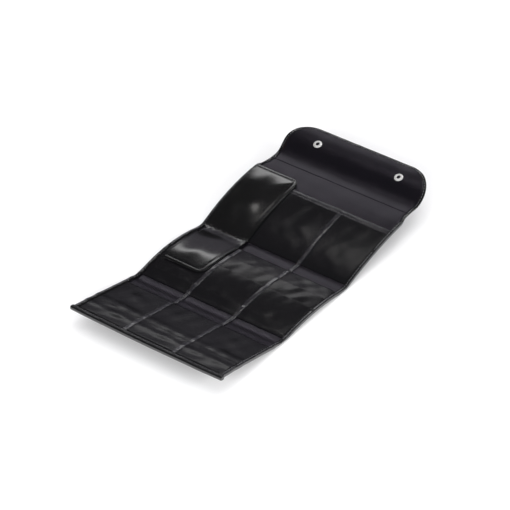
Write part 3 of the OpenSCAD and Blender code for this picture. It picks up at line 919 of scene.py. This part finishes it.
uu = -rollLook["radius"] + du[None, :] * ends[:, None] + 0.15 * mm * ripple(xs, 0 * xs, 40 * mm, 6)[:, None]
roll = loft("frontRoll", place(uu, xs[:, None], hh), edgeVinyl)
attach(roll, "front_panel")
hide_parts("front_roll")

# Hem of the long pocket
hemLook = {"depth": 7 * mm, "thick": 0.55 * mm, "seams": (0.2, 0.78), "seamWidth": 0.06}
mouthU = pocketRuns["long_pocket"][1]
xs = np.linspace(leafRight + 0.7 * mm, innerHalf - 0.2 * mm, 260)
t = np.linspace(0, 1, 15)
arch = pillow(xs[:, None], longEdges)
uTop = mouthU - hemLook["depth"] + t[None, :] * (hemLook["depth"] + 0.4 * mm) - pocketLook["sag"] * arch
tPocket = (uTop - pocketRuns["long_pocket"][0]) / (mouthU - pocketRuns["long_pocket"][0])
rest = slotRise(np.clip(tPocket, 0, 1))
bulge = arch * longPuff * (0.25 + 0.75 * np.clip(tPocket, 0, 1) ** 2)
stitchWave = 0.5 + 0.5 * np.cos(math.tau * xs[:, None] / bindingLook["stitch"])
seams = sum(np.exp(-((t[None, :] - seam) / hemLook["seamWidth"]) ** 2) for seam in hemLook["seams"])
crown = np.sin(math.pi * t[None, :]) ** 0.35 * hemLook["thick"]
hTop = rest + bulge + crown + 0.18 * mm - seams * (0.22 + 0.16 * stitchWave) * mm
hUnder = rest + bulge - 0.25 * mm + 0 * t[None, :]
top = place(uTop, xs[:, None], hTop)
under = place(uTop, xs[:, None], hUnder)
hem = loft("longPocketHem", np.concatenate([top, under[:, ::-1]], 1), tapeVinyl)
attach(hem, "back_panel")
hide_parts("pocket_hem")
print("front roll and hem done")

# Leaf
leafLook = {"low": 4.0 * mm, "thick": 2.0 * mm, "crown": 0.5 * mm, "edge": 4.0 * mm, "corner": 11 * mm,
            "rows": 1.0 * mm, "columns": 61, "tailInset": 6 * mm}


def leafOutline(u, inset):
    # Left and right edge of the leaf at u: straight sides with rounded corners on the right.
    r = leafLook["corner"] - inset
    lowEnd, highEnd = leafRun[0] + inset, leafRun[1] - inset
    past = np.maximum(np.clip(lowEnd + r - u, 0, r), np.clip(u - (highEnd - r), 0, r))
    right = leafRight - inset - r + np.sqrt(np.maximum(r * r - past * past, 0))
    left = leafLeft + leafLook["tailInset"] * smoothStep((folds["back"] + 2 * mm - u) / (6 * mm))
    return left, right


def leafSurface(us, inset, columns):
    left, right = leafOutline(us, inset)
    t = np.linspace(0, 1, columns)
    t = 0.5 - 0.5 * np.cos(math.pi * t)                # closer together at the edges
    return left[:, None] + (right - left)[:, None] * t[None, :], t


turn = np.linspace(0, math.pi / 2, 22)
r = leafLook["corner"]
straightRows = rowsBetween(leafRun[0] + r, leafRun[1] - r, leafLook["rows"])[1:-1]
cornerRows = r * np.sin(turn)
us = np.unique(np.concatenate([leafRun[0] + r - cornerRows[::-1], straightRows, leafRun[1] - r + cornerRows]))
x, t = leafSurface(us, 0.0, leafLook["columns"])
uu = np.broadcast_to(us[:, None], x.shape)
left, right = leafOutline(us, 0.0)
fromEnds = np.minimum(uu - leafRun[0], leafRun[1] - uu)
fromSide = right[:, None] - x
fromLeft = x - left[:, None]
soft = np.minimum(fromEnds, fromSide)
padDome = (np.sqrt(smoothStep((soft - leafLook["edge"] * 0.6) / (26 * mm)))
           * (0.3 + 0.7 * smoothStep(fromLeft / (22 * mm))))
crease = hump(uu, folds["back"], 8 * mm)
wave = 0.35 * mm * ripple(x, uu, 30 * mm, 91) * padDome
edgeShare = np.clip(np.minimum(soft, fromLeft + 1 * mm) / (1.2 * mm), 0, 1)
edgeRound = np.sqrt(np.clip(1 - (1 - edgeShare) ** 2, 0, 1))
seamLine = np.exp(-((soft - leafLook["edge"]) / (0.5 * mm)) ** 2)
run = uu + x
stitchWave = 0.5 + 0.5 * np.cos(math.tau * run / bindingLook["stitch"])
thick = leafLook["thick"] * (0.45 + 0.55 * edgeRound)
creaseFolds = 0.3 * mm * crease * np.sin(math.tau * x / (6.5 * mm) + 2 * ripple(x, uu, 15 * mm, 17))
h = (leafLook["low"] + thick + leafLook["crown"] * padDome * (1 - 0.9 * crease) + wave * (1 - crease)
     - seamLine * (0.20 + 0.22 * stitchWave) * mm - 0.9 * mm * crease * padDome + creaseFolds * padDome)
top = place(uu, x, h)
bottom = place(uu, x, leafLook["low"] + 0.1 * mm + (1 - edgeRound) * 0.5 * leafLook["thick"])
leaf = loft("paddedLeaf", np.concatenate([top, bottom[:, ::-1]], 1), leafVinyl)
bendAcross(leaf, "leaf_tail", "leaf", "back", 5 * mm)
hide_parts("leaf_pad", "leaf_edging", "leaf_tail_pad", "leaf_tail_edging")
print("leaf done")

# Snaps
snapLook = {"ring": 5.0 * mm, "bore": 2.3 * mm, "high": 1.5 * mm, "cap": 6.0 * mm, "stud": 1.95 * mm,
            "studBase": 4.0 * mm}


def turnedPiece(name, profile, centre, axisUp, mat, closedRing, count=64):
    # Turns a profile of (radius, height) pairs about an axis; closedRing keeps its bore open.
    profile = np.array(profile)
    axisUp = np.array(axisUp) / np.linalg.norm(axisUp)
    sideX = np.array([1.0, 0, 0])
    sideY = np.cross(axisUp, sideX)
    a = np.linspace(0, math.tau, count, endpoint=False)
    radial = np.cos(a)[:, None] * sideX + np.sin(a)[:, None] * sideY
    rings = centre + profile[None, :, :1] * radial[:, None, :] + profile[None, :, 1:] * axisUp
    obj = loft(name, rings, mat, ringOfRings=True)
    if not closedRing:
        modifier = obj.modifiers.new("closePole", "WELD")
        modifier.merge_threshold = 1e-6
        bpy.context.view_layer.objects.active = obj
        with bpy.context.temp_override(object=obj, active_object=obj):
            bpy.ops.object.modifier_apply(modifier="closePole")
    return obj


def roundedProfile(points, radius, count=5):
    # Closed outline of (radius, height) points with each corner cut back by the given radius, as an arc.
    pts = np.array(points, float)
    out = []
    for k in range(len(pts)):
        p, before, after = pts[k], pts[k - 1], pts[(k + 1) % len(pts)]
        a = p + (before - p) * min(0.45, radius / max(np.linalg.norm(before - p), 1e-9))
        b = p + (after - p) * min(0.45, radius / max(np.linalg.norm(after - p), 1e-9))
        t = np.linspace(0, 1, count)[:, None]
        out.append((1 - t) ** 2 * a + 2 * t * (1 - t) * p + t ** 2 * b)
    return np.concatenate(out)


outer, bore, high = snapLook["ring"], snapLook["bore"], snapLook["high"]
capR, headR, footR = snapLook["cap"], snapLook["stud"], snapLook["studBase"]
for side in ("left", "right"):
    boxLow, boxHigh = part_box("socket_" + side)
    centreX, centreY = (boxLow[0] + boxHigh[0]) / 2, (boxLow[1] + boxHigh[1]) / 2
    uSnap = float(np.interp(centreY, linePos[:, 0], lineU))
    centreX -= float(swayAt(uSnap))
    base = place(uSnap, centreX, layers["base"] + 0.1 * mm)
    above = place(uSnap, centreX, layers["base"] + 1.1 * mm) - base
    ring = roundedProfile([
        (bore, 0.0), (bore, high * 0.82), (bore + 0.5 * mm, high), (bore + 1.2 * mm, high),
        (outer - 0.8 * mm, 0.75 * mm), (outer, 0.45 * mm), (outer, 0.0)], 0.35 * mm)
    socket = turnedPiece("snapSocket_" + side, ring, base, above, nickelPlate, True)
    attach(socket, "flap")
    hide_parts("socket_" + side)
    cap = [(1e-9, -0.1 * mm), (capR - 0.2 * mm, -0.1 * mm), (capR, -0.35 * mm), (capR - 0.3 * mm, -0.62 * mm),
           (capR * 0.7, -0.82 * mm), (capR * 0.35, -0.9 * mm), (1e-9, -0.92 * mm)]
    capBase = place(uSnap, centreX, 0.0)
    capObj = turnedPiece("snapCap_" + side, cap, capBase, above, nickelPlate, False)
    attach(capObj, "flap")
    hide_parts("cap_" + side)
    boxLow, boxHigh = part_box("stud_" + side)
    studX, studY = (boxLow[0] + boxHigh[0]) / 2, (boxLow[1] + boxHigh[1]) / 2
    uStud = float(np.interp(studY, linePos[:, 0], lineU))
    studBase = place(uStud, studX, 0.0)
    down = studBase - place(uStud, studX, 1 * mm)
    stud = [(1e-9, 0.0), (footR, 0.0), (footR, 0.4 * mm), (footR - 0.4 * mm, 0.75 * mm),
            (headR + 0.6 * mm, 0.8 * mm), (headR * 0.86, 1.05 * mm), (headR * 0.84, 1.5 * mm),
            (headR, 1.9 * mm), (headR * 0.92, 2.25 * mm), (headR * 0.6, 2.45 * mm), (1e-9, 2.5 * mm)]
    studObj = turnedPiece("snapStud_" + side, stud, studBase, down, nickelPlate, False)
    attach(studObj, "middle_panel")
    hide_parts("stud_" + side)
print("snaps done")

# Floor
floorLook = {"reach": 4.0, "level": -0.4 * mm}
floorData = bpy.data.meshes.new("floor")
floorCorners = [(x * floorLook["reach"], y * floorLook["reach"], floorLook["level"])
                for x, y in ((-1, -1), (1, -1), (1, 1), (-1, 1))]
floorData.from_pydata(floorCorners, [], [(0, 1, 2, 3)])
floorData.materials.append(paper)
floor = bpy.data.objects.new("floor", floorData)
bpy.context.scene.collection.objects.link(floor)
